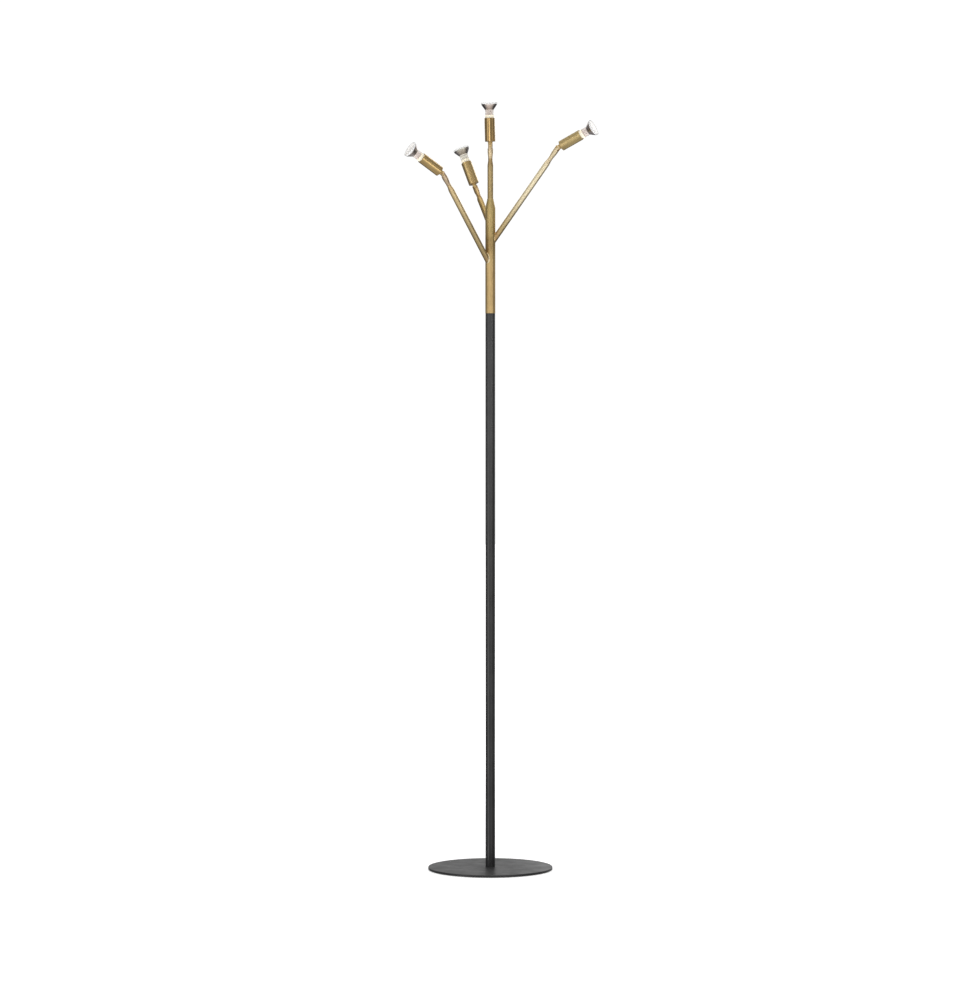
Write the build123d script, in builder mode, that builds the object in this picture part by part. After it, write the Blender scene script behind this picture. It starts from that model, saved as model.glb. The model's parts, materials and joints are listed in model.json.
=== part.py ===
from build123d import *
from math import sin, cos, radians, sqrt, tan
import os

# Tree floor lamp.  Millimetres, +Z up, origin at the centre of the underside
# of the base pad, -Y towards the front.

# ---------------------------------------------------------------- base
pad_radius = 126.0
pad_thickness = 1.0
plate_radius = 132.0
plate_thickness = 5.0
plate_edge = 0.5
plate_top = pad_thickness + plate_thickness

bolt_radius = 4.0
bolt_head_radius = 8.0
bolt_clearance_radius = 4.3
bolt_length = 22.0

plug_height = 19.0

# ---------------------------------------------------------------- pole
pole_radius = 10.25
pole_wall = 1.5
pole_bore = pole_radius - pole_wall
pole_end = 1180.0

gland_height = 37.0
gland_body_radius = 4.6
gland_flange_radius = 6.4
gland_lip_radius = 5.6
gland_bore_radius = 3.1
gland_face = 12.4
gland_inner_face = 6.6

coupling_bore = 6.5
coupling_bottom = 1122.0
coupling_top = 1216.0
grub_radius = 2.0
grub_heights = (1160.0, 1198.0)

# ---------------------------------------------------------------- trunk
trunk_radius = 10.6
trunk_wall = 1.5
trunk_bore = trunk_radius - trunk_wall
trunk_end = 1401.5
reducer_end = 1421.5
lead_hole_radius = 3.0

block_length = 28.0
block_width = 12.0
block_depth = 10.0

# ---------------------------------------------------------------- arms
arm_radius = 6.0
arm_bore = 4.9
waist_radius = 4.6

# stations along an arm, measured from its tilt pivot towards the bulb
taper_start = -40.4
taper_end = -31.1
swivel_plane = -27.1
lead_end = -6.2

# each arm: lean from vertical, heading, height of its root on the trunk axis,
# distance from that root to the tilt pivot
arm_layout = {
    "left": (34.8, 221.3, 1280.9, 230.6),
    "right": (34.9, -4.5, 1323.7, 248.8),
    "rear": (50.0, 108.6, 1364.0, 130.5),
    "top": (0.0, 0.0, 1400.0, 132.5),
}
# each head: lean of its axis to the right in the front view, and how far it
# points to the back (its Y component)
head_layout = {
    "left": (-53.5, -0.33),
    "right": (61.0, -0.31),
    "rear": (-20.1, 0.20),
    "top": (-1.6, 0.0),
}

# ---------------------------------------------------------------- swivel
stud_radius = 2.4
stud_head_radius = 3.05
stud_bore = 1.5
stud_bottom = -36.0
stud_head_bottom = -23.2
stud_top = -21.2

fork_radius = 5.8
fork_base_radius = 4.65
fork_web_bore = 2.45
fork_web_top = -23.6
fork_bore = 3.2
fork_top = 3.5
slot_half = 3.25
slot_bottom = -5.6

screw_radius = 1.5
screw_head_radius = 2.2
screw_seat = 4.55
screw_head_top = 5.4
screw_tip = 2.25

# ---------------------------------------------------------------- tilt stem
tongue_half = 3.2
tongue_radius = 4.85
collar_radius = 5.1
tongue_hole = 1.55
collar_bottom = 6.4
holder_bottom = 8.8
nipple_radius = 4.0
nipple_end = 19.0
stem_bore = 2.0

# ---------------------------------------------------------------- lamp holder
holder_radius = 11.1
holder_wall = 1.0
holder_floor = 3.0
holder_top = 58.5

socket_radius = 9.9
socket_bottom = holder_bottom + holder_floor
socket_top = 40.0
chamber_radius = 7.8
chamber_bottom = 21.0
chamber_top = 31.5
lip_bottom = 36.3
pin_circle = 5.0
twist = 30.0
slot_width = 3.2
pocket_width = 5.4
keyhole_radius = 2.55

contact_top = 33.0
contact_thickness = 0.4
contact_half_width = 1.6
lead_radius = 0.65

# ---------------------------------------------------------------- bulb
cap_radius = 9.0
cap_bottom = 40.3
cap_top = 61.5
pin_radius = 1.3
pin_head_radius = 2.4
pin_head_top = 35.8
pin_bottom = 33.3
neck_top = 74.6
rim_radius = 17.45
rim_top = 90.8
lens_radius = 16.3
lens_bottom = 89.1
lens_top = 90.5
branch_lead_radius = 1.3

os.makedirs("parts", exist_ok=True)


def save(name, part):
    part.label = name
    export_step(part, f"parts/{name}.step")


def heading(lean, turn):
    """Unit vector that leans from vertical towards a heading seen from above."""
    a, b = radians(lean), radians(turn)
    return Vector(sin(a) * cos(b), sin(a) * sin(b), cos(a))


def profile(frame):
    """Plane through a frame's axis: its X is the frame's X, its Y the axis."""
    return Plane(origin=frame.origin, x_dir=frame.x_dir, z_dir=frame.y_dir * -1)


def across(frame):
    """Plane square to a frame's pin axis."""
    return Plane(origin=frame.origin, x_dir=frame.x_dir, z_dir=frame.y_dir)


def line_of(frame):
    return Axis(frame.origin, frame.z_dir)


# Frames: origin at the tilt pivot, Y along the pivot screws.  The arm frame's Z
# runs along the arm and the head frame's Z along the bulb.
arm_frames, head_frames = {}, {}
for side, (lean, turn, root, reach) in arm_layout.items():
    along = heading(lean, turn)
    pivot = Vector(0, 0, root) + along * reach
    tip, back = head_layout[side]
    level = sqrt(1 - back * back)
    out = Vector(level * sin(radians(tip)), back, level * cos(radians(tip)))
    pin = along.cross(out).normalized()
    arm_frames[side] = Plane(origin=pivot, x_dir=pin.cross(along), z_dir=along)
    head_frames[side] = Plane(origin=pivot, x_dir=pin.cross(out), z_dir=out)

# the paths of the two bulb pins in their slots, in the head frame's own X and Y
twist_arcs = {a: CenterArc((0, 0), pin_circle, a, twist) for a in (0, 180)}

# ================================================================ base
# felt pad, a full disc under the plate
with BuildPart() as base_pad:
    with BuildSketch():
        Circle(pad_radius)
    extrude(amount=pad_thickness)
    chamfer(base_pad.edges().group_by(Axis.Z)[0], 0.25)
save("base_pad", base_pad.part)

# steel base plate with a countersunk hole from below
with BuildPart() as base_plate:
    with BuildSketch(Plane.XY.offset(pad_thickness)):
        Circle(plate_radius)
    extrude(amount=plate_thickness)
    chamfer(base_plate.edges().group_by(Axis.Z)[-1], plate_edge)
    chamfer(base_plate.edges().group_by(Axis.Z)[0], plate_edge)
    with BuildSketch(Plane.XZ):
        with BuildLine():
            Polyline(
                (0, pad_thickness),
                (bolt_head_radius, pad_thickness),
                (bolt_clearance_radius, pad_thickness + bolt_head_radius - bolt_clearance_radius),
                (bolt_clearance_radius, plate_top),
                (0, plate_top),
                close=True,
            )
        make_face()
    revolve(axis=Axis.Z, mode=Mode.SUBTRACT)
save("base_plate", base_plate.part)

# countersunk bolt with a hexagon socket
with BuildPart() as base_bolt:
    with BuildSketch(Plane.XZ):
        with BuildLine():
            Polyline(
                (0, pad_thickness),
                (bolt_head_radius, pad_thickness),
                (bolt_radius, pad_thickness + bolt_head_radius - bolt_radius),
                (bolt_radius, bolt_length - 0.6),
                (bolt_radius - 0.6, bolt_length),
                (0, bolt_length),
                close=True,
            )
        make_face()
    revolve(axis=Axis.Z)
    with BuildSketch(Plane.XY.offset(pad_thickness)):
        RegularPolygon(radius=2.9, side_count=6)
    extrude(amount=2.8, mode=Mode.SUBTRACT)
save("base_bolt", base_bolt.part)

# ================================================================ pole
# threaded plug in the foot of the pole
with BuildPart() as foot_plug:
    with BuildSketch(Plane.XY.offset(plate_top)):
        Circle(pole_bore)
        Circle(bolt_radius, mode=Mode.SUBTRACT)
    extrude(amount=plug_height)
    chamfer(foot_plug.edges().group_by(Axis.Z)[-1].sort_by(SortBy.LENGTH)[-1], 0.8)
save("pole_foot_plug", foot_plug.part)

# pole tube, with the cord hole low at the back and a grub screw hole at the top
with BuildPart() as pole_tube:
    with BuildSketch(Plane.XY.offset(plate_top)):
        Circle(pole_radius)
        Circle(pole_bore, mode=Mode.SUBTRACT)
    extrude(amount=pole_end - plate_top)
    with BuildSketch(Plane.XZ):
        with Locations((0, gland_height)):
            Circle(gland_body_radius)
        with Locations((0, grub_heights[0])):
            Circle(grub_radius)
    extrude(amount=-20, mode=Mode.SUBTRACT)
save("pole_tube", pole_tube.part)

# rubber grommet in the cord hole: lip inside the pole, flange outside
with BuildPart() as cord_gland:
    with BuildSketch(Plane.XZ.offset(-gland_inner_face)):
        with Locations((0, gland_height)):
            Circle(gland_flange_radius)
    extrude(amount=-(gland_face - gland_inner_face))
    chamfer(cord_gland.edges().group_by(Axis.Y)[-1], 0.7)
    # the pole's wall, left out of the bush except where the neck goes through
    with BuildSketch(Plane.XY.offset(gland_height - 10)):
        Circle(pole_radius)
        Circle(pole_bore, mode=Mode.SUBTRACT)
    extrude(amount=20, mode=Mode.SUBTRACT)
    with BuildSketch(Plane.XZ.offset(-gland_inner_face)):
        with Locations((0, gland_height)):
            Circle(gland_flange_radius + 1)
            Circle(gland_lip_radius, mode=Mode.SUBTRACT)
    extrude(amount=-(9.3 - gland_inner_face), mode=Mode.SUBTRACT)
    with BuildSketch(Plane.XZ.offset(-gland_inner_face)):
        with Locations((0, gland_height)):
            Circle(gland_body_radius)
    extrude(amount=-(gland_face - 0.7 - gland_inner_face))
    with BuildSketch(Plane.XZ):
        with Locations((0, gland_height)):
            Circle(gland_bore_radius)
    extrude(amount=-20, mode=Mode.SUBTRACT)
save("cord_gland", cord_gland.part)

# stepped spigot that joins the pole to the trunk
with BuildPart() as pole_coupling:
    with BuildSketch(Plane.XZ):
        with BuildLine():
            Polyline(
                (coupling_bore, coupling_bottom),
                (pole_bore - 0.8, coupling_bottom),
                (pole_bore, coupling_bottom + 0.8),
                (pole_bore, pole_end),
                (trunk_bore, pole_end),
                (trunk_bore, coupling_top - 0.8),
                (trunk_bore - 0.8, coupling_top),
                (coupling_bore, coupling_top),
                close=True,
            )
        make_face()
    revolve(axis=Axis.Z)
    with BuildSketch(Plane.XZ):
        with Locations(*[(0, h) for h in grub_heights]):
            Circle(grub_radius)
    extrude(amount=-20, mode=Mode.SUBTRACT)
save("pole_coupling", pole_coupling.part)

# two grub screws at the back of the joint
with BuildPart() as coupling_screws:
    for h, outer in zip(grub_heights, (pole_radius - 0.35, trunk_radius - 0.35)):
        with BuildSketch(Plane.XZ.offset(-6.8)):
            with Locations((0, h)):
                Circle(grub_radius)
        extrude(amount=-(outer - 6.8))
        with BuildSketch(Plane.XZ.offset(-outer)):
            with Locations((0, h)):
                RegularPolygon(radius=1.15, side_count=6)
        extrude(amount=1.6, mode=Mode.SUBTRACT)
save("coupling_screws", coupling_screws.part)

# ================================================================ trunk
with BuildPart() as trunk_tube:
    with BuildSketch(Plane.XY.offset(pole_end)):
        Circle(trunk_radius)
        Circle(trunk_bore, mode=Mode.SUBTRACT)
    extrude(amount=trunk_end - pole_end)
    chamfer(trunk_tube.edges().group_by(Axis.Z)[0].sort_by(SortBy.LENGTH)[-1], 0.4)
    with BuildSketch(Plane.XZ):
        with Locations((0, grub_heights[1])):
            Circle(grub_radius)
    extrude(amount=-20, mode=Mode.SUBTRACT)
    # a hole for the lead behind each side arm
    for side in ("left", "right", "rear"):
        lean, turn, root, reach = arm_layout[side]
        with BuildSketch(Plane(origin=(0, 0, root), z_dir=heading(lean, turn))):
            Circle(lead_hole_radius)
        extrude(amount=32, mode=Mode.SUBTRACT)
save("trunk_tube", trunk_tube.part)

# cone that brings the trunk down to the top arm
with BuildPart() as trunk_reducer:
    with BuildSketch(Plane.XZ):
        with BuildLine():
            Polyline(
                (4.5, trunk_end - 10),
                (trunk_bore, trunk_end - 10),
                (trunk_bore, trunk_end),
                (trunk_radius, trunk_end),
                (trunk_radius - 0.15, trunk_end + 1.2),
                (arm_radius + 0.45, reducer_end - 0.6),
                (arm_radius + 0.2, reducer_end),
                (arm_radius, reducer_end),
                (arm_radius, reducer_end - 10.5),
                (4.5, reducer_end - 10.5),
                close=True,
            )
        make_face()
    revolve(axis=Axis.Z)
save("trunk_reducer", trunk_reducer.part)

# terminal block on top of the coupling, where the supply divides
with BuildPart() as terminal_block:
    with BuildSketch(Plane.XY.offset(coupling_top)):
        RectangleRounded(block_width, block_depth, 1.2)
    extrude(amount=block_length)
    with BuildSketch(Plane.XZ.offset(block_depth / 2)):
        with Locations((0, coupling_top + block_length / 2)):
            with GridLocations(5.4, 12, 2, 2):
                Circle(1.4)
    extrude(amount=-4.5, mode=Mode.SUBTRACT)
    with BuildSketch(Plane.XY.offset(coupling_top)):
        with GridLocations(5.4, 1, 2, 1):
            Circle(1.5)
    extrude(amount=8, mode=Mode.SUBTRACT)
save("terminal_block", terminal_block.part)

# ================================================================ arms
for side in arm_layout:
    lean, turn, root, reach = arm_layout[side]
    frame = arm_frames[side]
    foot = -reach + (1.0 if side != "top" else reducer_end - 10.5 - root)
    with BuildPart() as arm:
        with BuildSketch(profile(frame)):
            with BuildLine():
                Polyline(
                    (arm_bore, foot),
                    (arm_radius, foot),
                    (arm_radius, taper_start),
                    (5.75, taper_start + 1.6),
                    (4.85, taper_end - 1.6),
                    (waist_radius, taper_end),
                    (waist_radius, swivel_plane - 0.25),
                    (waist_radius - 0.25, swivel_plane),
                    (stud_radius, swivel_plane),
                    (stud_radius, -36.4),
                    (arm_bore, -42.0),
                    close=True,
                )
            make_face()
        revolve(axis=line_of(frame))
        # the foot is cut to the round of the trunk
        if side != "top":
            with BuildSketch(Plane.XY.offset(root - 60)):
                Circle(trunk_radius)
            extrude(amount=120, mode=Mode.SUBTRACT)
    save(f"{side}_arm", arm.part)

# hollow shoulder studs, one in the end of each arm, that hold the swivels
with BuildPart() as swivel_studs:
    for side in arm_layout:
        frame = arm_frames[side]
        with BuildSketch(profile(frame)):
            with BuildLine():
                Polyline(
                    (stud_bore, stud_bottom),
                    (stud_radius, stud_bottom),
                    (stud_radius, stud_head_bottom),
                    (stud_head_radius, stud_head_bottom),
                    (stud_head_radius, stud_top - 0.3),
                    (stud_head_radius - 0.3, stud_top),
                    (stud_bore, stud_top),
                    close=True,
                )
            make_face()
        revolve(axis=line_of(frame))
        with BuildSketch(frame.offset(stud_top)):
            Rectangle(8, 0.8)
        extrude(amount=-0.8, mode=Mode.SUBTRACT)
save("swivel_studs", swivel_studs.part)

# dished spring washers under the heads of the studs
with BuildPart() as swivel_washers:
    for side in arm_layout:
        frame = arm_frames[side]
        with BuildSketch(profile(frame)):
            with BuildLine():
                Polyline(
                    (2.5, -23.42),
                    (3.05, -23.52),
                    (3.05, -23.30),
                    (2.5, -23.20),
                    close=True,
                )
            make_face()
        revolve(axis=line_of(frame))
save("swivel_washers", swivel_washers.part)

# a twin lead up each arm, from the terminal block to just under the tilt pivot
lead_start = coupling_top + block_length
with BuildPart() as branch_leads:
    for side, bend in (("left", 48.0), ("right", 45.0), ("rear", 25.0), ("top", 0.0)):
        lean, turn, root, reach = arm_layout[side]
        frame = arm_frames[side]
        end = frame.from_local_coords((0, 0, lead_end))
        if side == "top":
            with BuildLine() as route:
                Line((0, 0, lead_start), end)
        else:
            # straight up beside the axis, then round into the arm
            off = 3.7
            x, y = off * cos(radians(turn)), off * sin(radians(turn))
            corner = (x, y, root + off / tan(radians(lean)))
            with BuildLine() as route:
                FilletPolyline((x, y, lead_start), corner, end, radius=bend)
        path = route.wires()[0]
        print(f"{side} lead: bend {bend:.0f} mm, length {path.length:.0f} mm")
        with BuildSketch(Plane(origin=path @ 0, z_dir=path % 0)):
            Circle(branch_lead_radius)
        sweep(path=path)
save("branch_leads", branch_leads.part)

# ================================================================ joints
for side in arm_layout:
    frame = arm_frames[side]
    # swivel fork: turns on the stud, and its two ears carry the tilt pivot
    with BuildPart() as fork:
        with BuildSketch(profile(frame)):
            with BuildLine():
                Polyline(
                    (fork_web_bore, swivel_plane + 0.05),
                    (fork_base_radius - 0.25, swivel_plane + 0.05),
                    (fork_base_radius, swivel_plane + 0.3),
                    (fork_base_radius, -23.4),
                    (4.85, -22.0),
                    (5.6, -15.4),
                    (fork_radius, -13.6),
                    (fork_radius, fork_top - 0.5),
                    (fork_radius - 0.5, fork_top),
                    (fork_bore, fork_top),
                    (fork_bore, fork_web_top),
                    (fork_web_bore, fork_web_top),
                    close=True,
                )
            make_face()
        revolve(axis=line_of(frame))
        # seen along the screws the slot is open at the top and both sides
        with BuildSketch(across(frame)):
            with BuildLine():
                Polyline(
                    (-12, -slot_bottom),
                    (12, -slot_bottom),
                    (12, -12),
                    (-12, -12),
                    close=True,
                )
            make_face()
        extrude(amount=slot_half, both=True, mode=Mode.SUBTRACT)
        with BuildSketch(across(frame)):
            Circle(screw_radius)
        extrude(amount=8, both=True, mode=Mode.SUBTRACT)
        for way in (1, -1):
            seat = across(frame).offset(way * screw_seat)
            with BuildSketch(seat):
                Circle(screw_head_radius + 0.05)
            extrude(amount=way * 3, mode=Mode.SUBTRACT)
    save(f"{side}_fork", fork.part)

    # two short shoulder screws, one through each ear
    with BuildPart() as pivot_screws:
        for way in (1, -1):
            with BuildSketch(across(frame).offset(way * screw_tip)):
                Circle(screw_radius)
            extrude(amount=way * (screw_seat - screw_tip))
            with BuildSketch(across(frame).offset(way * screw_seat)):
                Circle(screw_head_radius)
            extrude(amount=way * (screw_head_top - screw_seat))
            with BuildSketch(across(frame).offset(way * screw_head_top)):
                Rectangle(0.7, 6)
            extrude(amount=-way * 0.45, mode=Mode.SUBTRACT)
    save(f"{side}_pivot_screws", pivot_screws.part)

# ================================================================ heads
for side in arm_layout:
    frame = head_frames[side]
    # tilt stem: a flat round-ended tongue, a collar and a hollow nipple
    with BuildPart() as stem:
        with BuildSketch(across(frame)):
            Circle(tongue_radius)
            with Locations((0, -collar_bottom / 2)):
                Rectangle(2 * tongue_radius, collar_bottom)
        extrude(amount=tongue_half, both=True)
        with BuildSketch(frame.offset(-tongue_radius - 1)):
            Circle(collar_radius)
        extrude(amount=collar_bottom + tongue_radius + 2, mode=Mode.INTERSECT)
        with BuildSketch(profile(frame)):
            with BuildLine():
                Polyline(
                    (0, collar_bottom),
                    (collar_radius - 0.3, collar_bottom),
                    (collar_radius, collar_bottom + 0.3),
                    (collar_radius, holder_bottom),
                    (nipple_radius, holder_bottom),
                    (nipple_radius, nipple_end - 0.5),
                    (nipple_radius - 0.5, nipple_end),
                    (0, nipple_end),
                    close=True,
                )
            make_face()
        revolve(axis=line_of(frame))
        with BuildSketch(frame.offset(-8)):
            Circle(stem_bore)
        extrude(amount=30, mode=Mode.SUBTRACT)
        with BuildSketch(across(frame)):
            Circle(tongue_hole)
        extrude(amount=6, both=True, mode=Mode.SUBTRACT)
    save(f"{side}_tilt_stem", stem.part)

    # brass lamp holder: a deep cup
    with BuildPart() as holder:
        with BuildSketch(profile(frame)):
            with BuildLine():
                Polyline(
                    (nipple_radius, holder_bottom),
                    (holder_radius - 0.8, holder_bottom),
                    (holder_radius - 0.24, holder_bottom + 0.24),
                    (holder_radius, holder_bottom + 0.8),
                    (holder_radius, holder_top - 0.35),
                    (holder_radius - 0.3, holder_top),
                    (holder_radius - holder_wall + 0.2, holder_top),
                    (holder_radius - holder_wall, holder_top - 0.3),
                    (holder_radius - holder_wall, socket_bottom),
                    (nipple_radius, socket_bottom),
                    close=True,
                )
            make_face()
        revolve(axis=line_of(frame))
    save(f"{side}_lamp_holder", holder.part)

    # ceramic bayonet socket: keyhole slots over two pockets and a contact chamber
    with BuildPart() as socket:
        with BuildSketch(profile(frame)):
            with BuildLine():
                Polyline(
                    (nipple_radius, socket_bottom),
                    (socket_radius - 0.5, socket_bottom),
                    (socket_radius, socket_bottom + 0.5),
                    (socket_radius, socket_top - 0.5),
                    (socket_radius - 0.5, socket_top),
                    (0, socket_top),
                    (0, chamber_top),
                    (chamber_radius, chamber_top),
                    (chamber_radius, chamber_bottom),
                    (2.3, chamber_bottom),
                    (2.3, nipple_end + 0.8),
                    (nipple_radius, nipple_end + 0.8),
                    close=True,
                )
            make_face()
        revolve(axis=line_of(frame))
        for first in (0, 180):
            with BuildSketch(frame.offset(chamber_top - 0.5)):
                SlotArc(twist_arcs[first], pocket_width)
            extrude(amount=lip_bottom - chamber_top + 0.5, mode=Mode.SUBTRACT)
            with BuildSketch(frame.offset(lip_bottom - 0.5)):
                SlotArc(twist_arcs[first], slot_width)
                with PolarLocations(pin_circle, 1, start_angle=first + twist):
                    Circle(keyhole_radius)
            extrude(amount=socket_top - lip_bottom + 1, mode=Mode.SUBTRACT)
    save(f"{side}_socket", socket.part)

    # a leaf contact under each pin, with its lead down through the stem
    with BuildPart() as leads:
        for way in (1, -1):
            with BuildSketch(profile(frame)):
                with BuildLine():
                    t = contact_thickness
                    Polyline(
                        (way * 3.2, contact_top - 0.8),
                        (way * 3.6, contact_top),
                        (way * 6.6, contact_top),
                        (way * 7.1, contact_top - 0.5),
                        (way * 7.1, 25.4),
                        (way * (7.1 - t), 25.4),
                        (way * (7.1 - t), contact_top - t - 0.4),
                        (way * (6.6 - 0.1), contact_top - t),
                        (way * (3.6 + 0.2), contact_top - t),
                        (way * (3.2 + 0.4), contact_top - 0.8),
                        close=True,
                    )
                make_face()
            extrude(amount=contact_half_width, both=True)
            points = [(way * 6.5, 26.4), (way * 0.85, 21.6), (way * 0.85, 0.8)]
            path = [frame.from_local_coords((x, 0, z)) for x, z in points]
            with BuildLine() as route:
                FilletPolyline(*path, radius=6.0)
            wire = route.wires()[0]
            with BuildSketch(Plane(origin=wire @ 0, z_dir=wire % 0)):
                Circle(lead_radius)
            sweep(path=wire)
    save(f"{side}_socket_leads", leads.part)

# ================================================================ bulbs
for side in arm_layout:
    frame = head_frames[side]
    # ceramic cap with its two headed pins
    with BuildPart() as cap:
        with BuildSketch(profile(frame)):
            with BuildLine():
                Polyline(
                    (0, cap_bottom),
                    (cap_radius - 0.8, cap_bottom),
                    (cap_radius, cap_bottom + 0.8),
                    (cap_radius, cap_top),
                    (4.3, cap_top),
                    (4.3, cap_top - 8.5),
                    (0, cap_top - 8.5),
                    close=True,
                )
            make_face()
        revolve(axis=line_of(frame))
        for way in (1, -1):
            with BuildSketch(frame.offset(cap_bottom + 0.5)):
                with Locations((way * pin_circle, 0)):
                    Circle(pin_radius)
            extrude(amount=-(cap_bottom + 0.5 - pin_head_top))
            with BuildSketch(frame.offset(pin_head_top)):
                with Locations((way * pin_circle, 0)):
                    Circle(pin_head_radius)
            extrude(amount=-(pin_head_top - pin_bottom))
    save(f"{side}_lamp_cap", cap.part)

    # pressed glass: a thick clear neck that opens into the reflector
    with BuildPart() as glass:
        with BuildSketch(profile(frame)):
            with BuildLine():
                Polyline(
                    (4.6, cap_top),
                    (cap_radius, cap_top),
                    (cap_radius, neck_top),
                    (9.25, 75.7),
                    (11.0, 78.4),
                    (13.7, 82.4),
                    (15.9, 85.4),
                    (16.8, 87.4),
                    (rim_radius, 90.2),
                    (rim_radius - 0.25, rim_top),
                    (16.55, rim_top),
                    (16.45, 88.9),
                    (15.5, 88.9),
                    (14.6, 86.2),
                    (12.3, 83.0),
                    (9.6, 79.3),
                    (7.6, 77.0),
                    (5.6, 75.6),
                    (4.6, 75.0),
                    close=True,
                )
            make_face()
        revolve(axis=line_of(frame))
    save(f"{side}_lamp_reflector", glass.part)

    # front lens, a disc set in the rim
    with BuildPart() as lens:
        with BuildSketch(profile(frame)):
            with BuildLine():
                Polyline(
                    (0, lens_bottom),
                    (lens_radius, lens_bottom),
                    (lens_radius, lens_top - 0.4),
                    (lens_radius - 0.4, lens_top),
                    (0, lens_top),
                    close=True,
                )
            make_face()
        revolve(axis=line_of(frame))
    save(f"{side}_lamp_lens", lens.part)

    # quartz capsule: a round body with a domed end on a flat pinch
    with BuildPart() as capsule:
        with BuildSketch(profile(frame)):
            with BuildLine():
                Polyline(
                    (0, 69.5),
                    (2.6, 69.5),
                    (3.7, 71.2),
                    (3.7, 79.6),
                    (3.1, 81.4),
                    (1.9, 82.6),
                    (0.7, 83.2),
                    (0.5, 84.4),
                    (0, 84.6),
                    close=True,
                )
            make_face()
        revolve(axis=line_of(frame))
        with BuildSketch(frame.offset(54.0)):
            RectangleRounded(6.8, 2.4, 0.6)
        extrude(amount=17.0)
    save(f"{side}_lamp_capsule", capsule.part)
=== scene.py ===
import json
import math
import random

import bmesh
import bpy
from mathutils import Matrix, Vector


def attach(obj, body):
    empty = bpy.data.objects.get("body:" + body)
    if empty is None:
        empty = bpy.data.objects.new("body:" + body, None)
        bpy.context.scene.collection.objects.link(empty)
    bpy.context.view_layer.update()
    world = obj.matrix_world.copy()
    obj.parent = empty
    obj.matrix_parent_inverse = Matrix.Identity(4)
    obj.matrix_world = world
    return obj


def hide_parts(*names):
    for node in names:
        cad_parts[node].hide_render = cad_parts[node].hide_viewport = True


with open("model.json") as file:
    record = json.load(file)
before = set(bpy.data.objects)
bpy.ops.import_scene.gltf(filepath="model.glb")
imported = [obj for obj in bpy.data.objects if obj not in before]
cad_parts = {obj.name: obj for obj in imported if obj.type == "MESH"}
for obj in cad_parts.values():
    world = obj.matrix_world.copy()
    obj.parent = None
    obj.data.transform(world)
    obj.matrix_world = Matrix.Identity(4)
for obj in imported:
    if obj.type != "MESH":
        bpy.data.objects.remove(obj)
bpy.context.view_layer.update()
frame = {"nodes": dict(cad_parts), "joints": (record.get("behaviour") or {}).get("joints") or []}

random.seed(4)
MM = 0.001
SIDES = ("left", "right", "rear", "top")
nodes = frame["nodes"]
joints = {j["name"]: j for j in frame["joints"]}

# ------------------------------------------------------------------ frames
# For each side: the tilt pivot, the arm's axis, the pin's axis and the bulb's
# axis, all from the joints.
arm_frame, head_frame = {}, {}
for side in SIDES:
    pivot = Vector(joints[f"{side}_swivel"]["pos_m"])
    along = Vector(joints[f"{side}_swivel"]["axis"]).normalized()
    pin = Vector(joints[f"{side}_tilt"]["axis"]).normalized()
    out = Vector(joints[f"{side}_bulb_twist"]["axis"]).normalized()
    for store, axis in ((arm_frame, along), (head_frame, out)):
        x = pin.cross(axis).normalized()
        m = Matrix((x, pin, axis)).transposed().to_4x4()
        m.translation = pivot
        store[side] = m


# ------------------------------------------------------------------ node helpers
def material(name):
    mat = bpy.data.materials.new(name)
    mat.use_nodes = True
    tree = mat.node_tree
    tree.nodes.clear()
    out = tree.nodes.new("ShaderNodeOutputMaterial")
    shader = tree.nodes.new("ShaderNodeBsdfPrincipled")
    tree.links.new(shader.outputs["BSDF"], out.inputs["Surface"])
    return mat, tree, shader


def place(tree, matrix=None, scale=(1, 1, 1)):
    """Coordinates fixed to the piece, along the axes of a frame, in metres."""
    coord = tree.nodes.new("ShaderNodeTexCoord")
    value = coord.outputs["Object"]
    if matrix is not None:
        turn = tree.nodes.new("ShaderNodeMapping")
        turn.vector_type = "TEXTURE"
        turn.inputs["Location"].default_value = matrix.translation
        turn.inputs["Rotation"].default_value = matrix.to_euler("XYZ")
        tree.links.new(value, turn.inputs["Vector"])
        value = turn.outputs["Vector"]
    if tuple(scale) != (1, 1, 1):
        stretch = tree.nodes.new("ShaderNodeMapping")
        stretch.vector_type = "POINT"
        stretch.inputs["Scale"].default_value = scale
        tree.links.new(value, stretch.inputs["Vector"])
        value = stretch.outputs["Vector"]
    return value


def noise(tree, vector, scale, detail=3.0, rough=0.55, distortion=0.0):
    n = tree.nodes.new("ShaderNodeTexNoise")
    n.inputs["Scale"].default_value = scale
    n.inputs["Detail"].default_value = detail
    n.inputs["Roughness"].default_value = rough
    n.inputs["Distortion"].default_value = distortion
    tree.links.new(vector, n.inputs["Vector"])
    return n.outputs["Fac"]


def voronoi(tree, vector, scale, feature="F1"):
    n = tree.nodes.new("ShaderNodeTexVoronoi")
    n.feature = feature
    n.inputs["Scale"].default_value = scale
    tree.links.new(vector, n.inputs["Vector"])
    return n.outputs["Distance"]


def ramp(tree, value, low, high, out_low=0.0, out_high=1.0, smooth=True):
    n = tree.nodes.new("ShaderNodeMapRange")
    n.interpolation_type = "SMOOTHSTEP" if smooth else "LINEAR"
    n.inputs["From Min"].default_value = low
    n.inputs["From Max"].default_value = high
    n.inputs["To Min"].default_value = out_low
    n.inputs["To Max"].default_value = out_high
    tree.links.new(value, n.inputs["Value"])
    return n.outputs["Result"]


def math_node(tree, op, a, b=None):
    n = tree.nodes.new("ShaderNodeMath")
    n.operation = op
    for slot, v in zip(n.inputs, (a, b)):
        if v is None:
            continue
        if isinstance(v, (int, float)):
            slot.default_value = v
        else:
            tree.links.new(v, slot)
    return n.outputs["Value"]


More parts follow.
